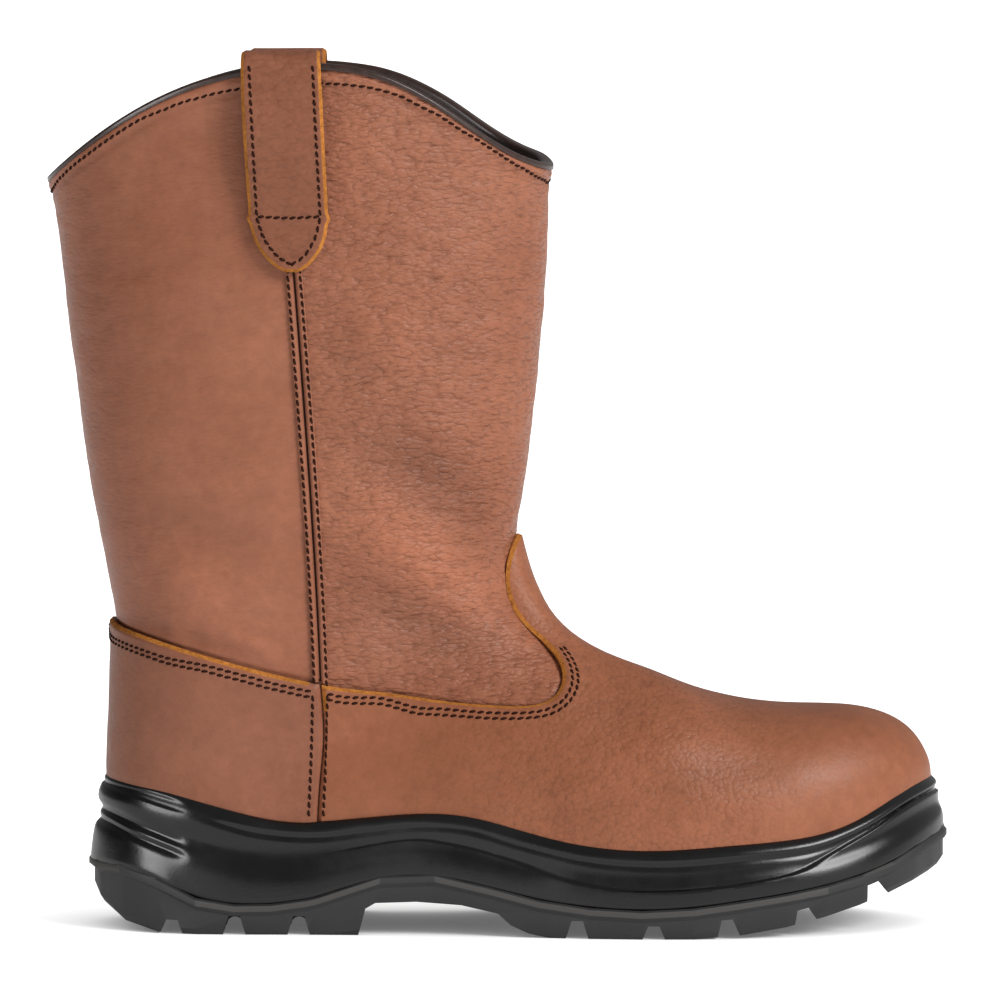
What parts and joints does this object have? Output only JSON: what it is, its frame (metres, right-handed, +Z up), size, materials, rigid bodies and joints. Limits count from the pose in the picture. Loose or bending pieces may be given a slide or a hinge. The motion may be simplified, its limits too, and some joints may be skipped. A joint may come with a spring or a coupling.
{
  "type": "rigger boot",
  "caption": "Pull-on leather rigger boot with scalloped collar, pull straps over the side seams, lapped vamp and heel counter, on a moulded lugged sole.",
  "frame": {"origin": "on the floor, under the middle of the bounding box", "axes": "+X towards the toe, +Y towards the boot's inner side, +Z up"},
  "size_m": [0.3237, 0.1154, 0.3132],
  "materials": {
    "tread_rubber": "black moulded tread, dull",
    "sole_rubber": "black moulded midsole, satin",
    "footbed": "dark footbed fabric",
    "upper_leather": "tan pebbled leather, lightly waxed",
    "panel_leather": "tan leather, smoother over toe and heel",
    "seam_leather": "tan leather strip",
    "binding": "dark brown glossy binding",
    "strap_leather": "tan leather with raw edges"
  },
  "bodies": {
    "root": {"outsole": "tread_rubber", "midsole": "sole_rubber", "insole": "footbed", "upper": "upper_leather", "vamp": "panel_leather", "counter": "panel_leather", "side_seam_outer": "seam_leather", "side_seam_inner": "seam_leather", "collar_binding": "binding", "pull_strap_outer": "strap_leather", "pull_strap_inner": "strap_leather"}
  },
  "joints": []
}
